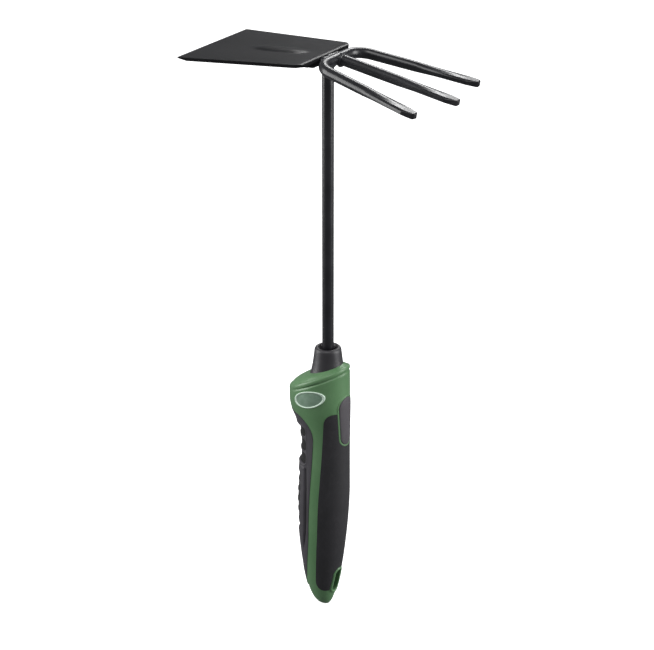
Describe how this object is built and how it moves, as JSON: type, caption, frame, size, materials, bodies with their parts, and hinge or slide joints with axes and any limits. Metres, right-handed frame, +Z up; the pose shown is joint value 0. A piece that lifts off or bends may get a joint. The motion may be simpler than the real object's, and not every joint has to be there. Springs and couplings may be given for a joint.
{
  "type": "hand cultivator",
  "caption": "Short two-in-one garden tool: a flat hoe blade and a splayed tine fork welded to a steel rod, in a shaped two-material handle with a hang slot.",
  "frame": {"origin": "bottom centre of the bounding box, level with the lowest point of the handle's butt", "axes": "+Z runs up the rod from butt to head, +X points the way the tines point, the blade points along -X, and the tool's symmetry plane is Y = 0"},
  "size_m": [0.1911, 0.0852, 0.4124],
  "materials": {
    "black_steel": "satin black paint",
    "neck_plastic": "fine matte",
    "green_plastic": "satin gloss",
    "soft_grip": "matte soft overmould",
    "thumb_rubber": "matte soft overmould",
    "badge_plastic": "satin"
  },
  "bodies": {
    "root": {"rod": "black_steel", "blade": "black_steel", "fork": "black_steel", "centre_tine": "black_steel", "blade_weld": "black_steel", "fork_weld": "black_steel", "tine_weld": "black_steel", "neck": "neck_plastic", "handle": "green_plastic", "finger_panel": "soft_grip", "palm_panel": "soft_grip", "thumb_pad": "thumb_rubber", "badge": "badge_plastic"}
  },
  "joints": []
}
